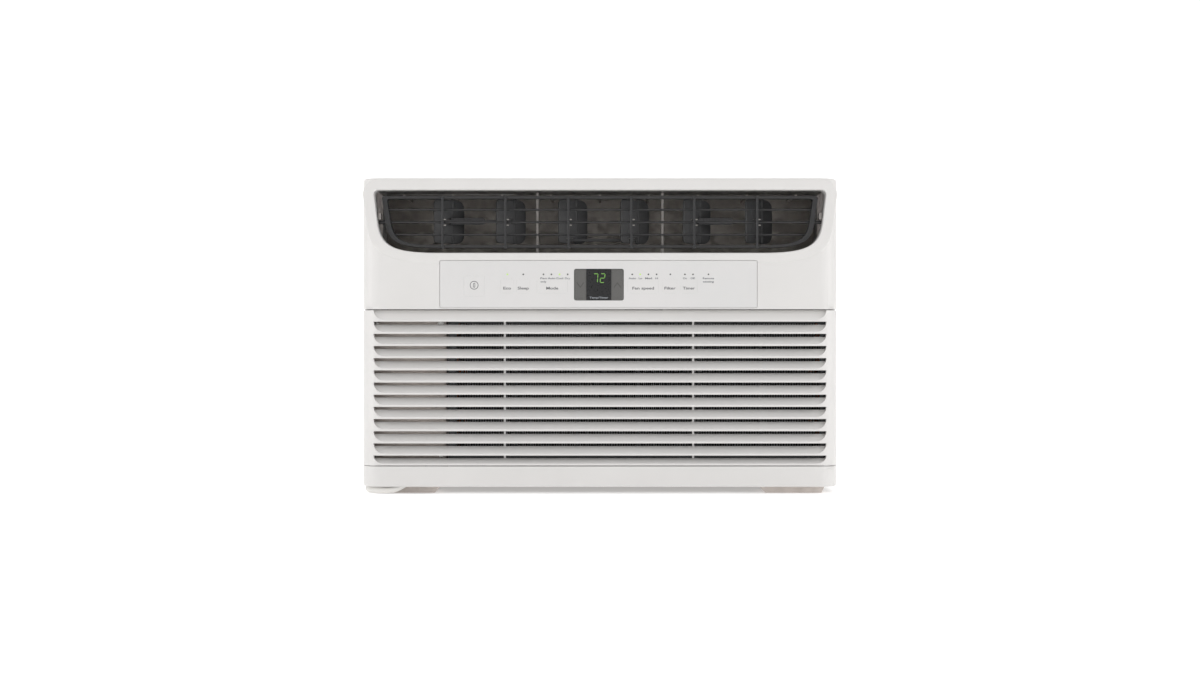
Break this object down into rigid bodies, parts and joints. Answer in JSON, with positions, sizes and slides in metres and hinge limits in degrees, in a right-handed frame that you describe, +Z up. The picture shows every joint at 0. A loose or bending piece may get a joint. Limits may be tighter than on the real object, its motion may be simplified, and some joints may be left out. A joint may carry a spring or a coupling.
{
  "type": "window air conditioner",
  "caption": "Compact window air conditioner with a louvered outlet above a touch panel and a slatted intake grille, steel cabinet and power cord.",
  "frame": {"origin": "centre of the body's footprint, at the underside of its feet", "axes": "+X to the right seen from the room, +Y out through the window, +Z up; the front faces -Y"},
  "size_m": [0.47, 0.5101, 0.311],
  "materials": {
    "front_plastic": "fine-textured white ABS",
    "panel_film": "satin printed polyester film",
    "display_plastic": "satin light grey plastic",
    "arrow_key_plastic": "satin mid grey plastic",
    "display_lens": "glossy smoked lens",
    "dark_plastic": "satin charcoal ABS",
    "grey_plastic": "satin warm grey plastic",
    "cabinet_steel": "light grey powder-coated steel sheet",
    "galvanised_steel": "dull zinc-coated steel sheet",
    "coil_aluminium": "thin bare aluminium fins",
    "copper": "drawn copper tube",
    "black_steel": "semi-gloss black paint",
    "fan_plastic": "glass-filled black plastic",
    "moulded_foam": "moulded polystyrene foam",
    "circuit_board": "green solder mask",
    "cord_vinyl": "soft light grey vinyl",
    "gland_rubber": "matt black rubber"
  },
  "bodies": {
    "cabinet": {"front_frame": "front_plastic", "control_overlay": "panel_film", "display_surround": "display_plastic", "display_window": "display_lens", "outlet_duct": "grey_plastic", "filter_guide": "grey_plastic", "cabinet_shell": "cabinet_steel", "base_pan": "galvanised_steel", "foot_front_left": "galvanised_steel", "foot_front_right": "galvanised_steel", "foot_rear_left": "galvanised_steel", "foot_rear_right": "galvanised_steel", "bulkhead": "galvanised_steel", "motor_bracket": "galvanised_steel", "electrical_box": "galvanised_steel", "rear_guard": "galvanised_steel", "evaporator_coil": "coil_aluminium", "condenser_coil": "coil_aluminium", "capacitor": "coil_aluminium", "suction_line": "copper", "discharge_line": "copper", "liquid_line": "copper", "compressor": "black_steel", "fan_motor": "black_steel", "fan_shroud": "fan_plastic", "blower_scroll": "moulded_foam", "control_board": "circuit_board", "power_cord": "cord_vinyl", "power_cord_coil": "cord_vinyl", "power_cord_tail": "cord_vinyl", "plug": "cord_vinyl", "cord_gland": "gland_rubber"},
    "grille": {"intake_grille": "front_plastic"},
    "filter": {"air_filter": "dark_plastic"},
    "louver": {"louver_frame": "dark_plastic"},
    "rotor": {"fan_shaft": "galvanised_steel", "blower_wheel": "fan_plastic", "condenser_fan": "fan_plastic"},
    "vane_1": {"vane_1": "dark_plastic"},
    "vane_2": {"vane_2": "dark_plastic"},
    "vane_3": {"vane_3": "dark_plastic"},
    "vane_4": {"vane_4": "dark_plastic"},
    "vane_5": {"vane_5": "dark_plastic"},
    "vane_6": {"vane_6": "dark_plastic"},
    "link_left": {"link_bar_left": "grey_plastic"},
    "link_center": {"link_bar_center": "dark_plastic"},
    "link_right": {"link_bar_right": "grey_plastic"},
    "key_power": {"key_power": "panel_film"},
    "key_eco": {"key_eco": "panel_film"},
    "key_sleep": {"key_sleep": "panel_film"},
    "key_mode": {"key_mode": "panel_film"},
    "key_temp_down": {"key_temp_down": "arrow_key_plastic"},
    "key_temp_up": {"key_temp_up": "arrow_key_plastic"},
    "key_fan_speed": {"key_fan_speed": "panel_film"},
    "key_filter": {"key_filter": "panel_film"},
    "key_timer": {"key_timer": "panel_film"},
    "plug_test": {"plug_test_button": "display_plastic"},
    "plug_reset": {"plug_reset_button": "display_plastic"}
  },
  "joints": [
    {"name": "grille_tilt", "type": "hinge", "parent": "cabinet", "child": "grille", "pos_m": [0, -0.192, 0.0292], "axis": [1, 0, 0], "range_deg": [0, 60]},
    {"name": "filter_lift", "type": "slide", "parent": "cabinet", "child": "filter", "axis": [0, 0, 1], "range_m": [0, 0.006]},
    {"name": "louver_tilt", "type": "hinge", "parent": "cabinet", "child": "louver", "pos_m": [0, -0.1795, 0.2682], "axis": [1, 0, 0], "range_deg": [-12, 12]},
    {"name": "vane_1_turn", "type": "hinge", "parent": "cabinet", "child": "vane_1", "pos_m": [-0.1482, -0.152, 0.27], "axis": [0, 0, 1], "range_deg": [0, 104]},
    {"name": "vane_2_turn", "type": "hinge", "parent": "cabinet", "child": "vane_2", "pos_m": [-0.086, -0.152, 0.27], "axis": [0, 0, 1], "range_deg": [0, 104]},
    {"name": "link_left_pin", "type": "hinge", "parent": "vane_1", "child": "link_left", "pos_m": [-0.1545, -0.15693, 0.2706], "axis": [0, 0, 1], "range_deg": [-104, 0]},
    {"name": "vane_3_turn", "type": "hinge", "parent": "cabinet", "child": "vane_3", "pos_m": [-0.0238, -0.152, 0.27], "axis": [0, 0, 1], "range_deg": [0, 104]},
    {"name": "vane_4_turn", "type": "hinge", "parent": "cabinet", "child": "vane_4", "pos_m": [0.0384, -0.152, 0.27], "axis": [0, 0, 1], "range_deg": [0, 104]},
    {"name": "link_center_pin", "type": "hinge", "parent": "vane_3", "child": "link_center", "pos_m": [-0.0301, -0.15693, 0.2516], "axis": [0, 0, 1], "range_deg": [-104, 0]},
    {"name": "vane_5_turn", "type": "hinge", "parent": "cabinet", "child": "vane_5", "pos_m": [0.1006, -0.152, 0.27], "axis": [0, 0, 1], "range_deg": [0, 104]},
    {"name": "vane_6_turn", "type": "hinge", "parent": "cabinet", "child": "vane_6", "pos_m": [0.1628, -0.152, 0.27], "axis": [0, 0, 1], "range_deg": [0, 104]},
    {"name": "link_right_pin", "type": "hinge", "parent": "vane_5", "child": "link_right", "pos_m": [0.0943, -0.15693, 0.2706], "axis": [0, 0, 1], "range_deg": [-104, 0]},
    {"name": "fan_spin", "type": "hinge", "parent": "cabinet", "child": "rotor", "pos_m": [0.045, 0, 0.128], "axis": [0, 1, 0], "continuous": true},
    {"name": "press_power", "type": "slide", "parent": "cabinet", "child": "key_power", "axis": [0, 1, 0], "range_m": [0, 0.0005], "stiffness_N_per_m": 4000},
    {"name": "press_eco", "type": "slide", "parent": "cabinet", "child": "key_eco", "axis": [0, 1, 0], "range_m": [0, 0.0005], "stiffness_N_per_m": 4000},
    {"name": "press_sleep", "type": "slide", "parent": "cabinet", "child": "key_sleep", "axis": [0, 1, 0], "range_m": [0, 0.0005], "stiffness_N_per_m": 4000},
    {"name": "press_mode", "type": "slide", "parent": "cabinet", "child": "key_mode", "axis": [0, 1, 0], "range_m": [0, 0.0005], "stiffness_N_per_m": 4000},
    {"name": "press_temp_down", "type": "slide", "parent": "cabinet", "child": "key_temp_down", "axis": [0, 1, 0], "range_m": [0, 0.0005], "stiffness_N_per_m": 4000},
    {"name": "press_temp_up", "type": "slide", "parent": "cabinet", "child": "key_temp_up", "axis": [0, 1, 0], "range_m": [0, 0.0005], "stiffness_N_per_m": 4000},
    {"name": "press_fan_speed", "type": "slide", "parent": "cabinet", "child": "key_fan_speed", "axis": [0, 1, 0], "range_m": [0, 0.0005], "stiffness_N_per_m": 4000},
    {"name": "press_filter", "type": "slide", "parent": "cabinet", "child": "key_filter", "axis": [0, 1, 0], "range_m": [0, 0.0005], "stiffness_N_per_m": 4000},
    {"name": "press_timer", "type": "slide", "parent": "cabinet", "child": "key_timer", "axis": [0, 1, 0], "range_m": [0, 0.0005], "stiffness_N_per_m": 4000},
    {"name": "press_plug_test", "type": "slide", "parent": "cabinet", "child": "plug_test", "axis": [0, 0, -1], "range_m": [0, 0.0012], "stiffness_N_per_m": 2000},
    {"name": "press_plug_reset", "type": "slide", "parent": "cabinet", "child": "plug_reset", "axis": [0, 0, -1], "range_m": [0, 0.0012], "stiffness_N_per_m": 2000}
  ],
  "couplings": [
    {"joint": "vane_2_turn", "follows": "vane_1_turn", "ratio": 1},
    {"joint": "link_left_pin", "follows": "vane_1_turn", "ratio": -1},
    {"joint": "vane_4_turn", "follows": "vane_3_turn", "ratio": 1},
    {"joint": "link_center_pin", "follows": "vane_3_turn", "ratio": -1},
    {"joint": "vane_6_turn", "follows": "vane_5_turn", "ratio": 1},
    {"joint": "link_right_pin", "follows": "vane_5_turn", "ratio": -1}
  ]
}
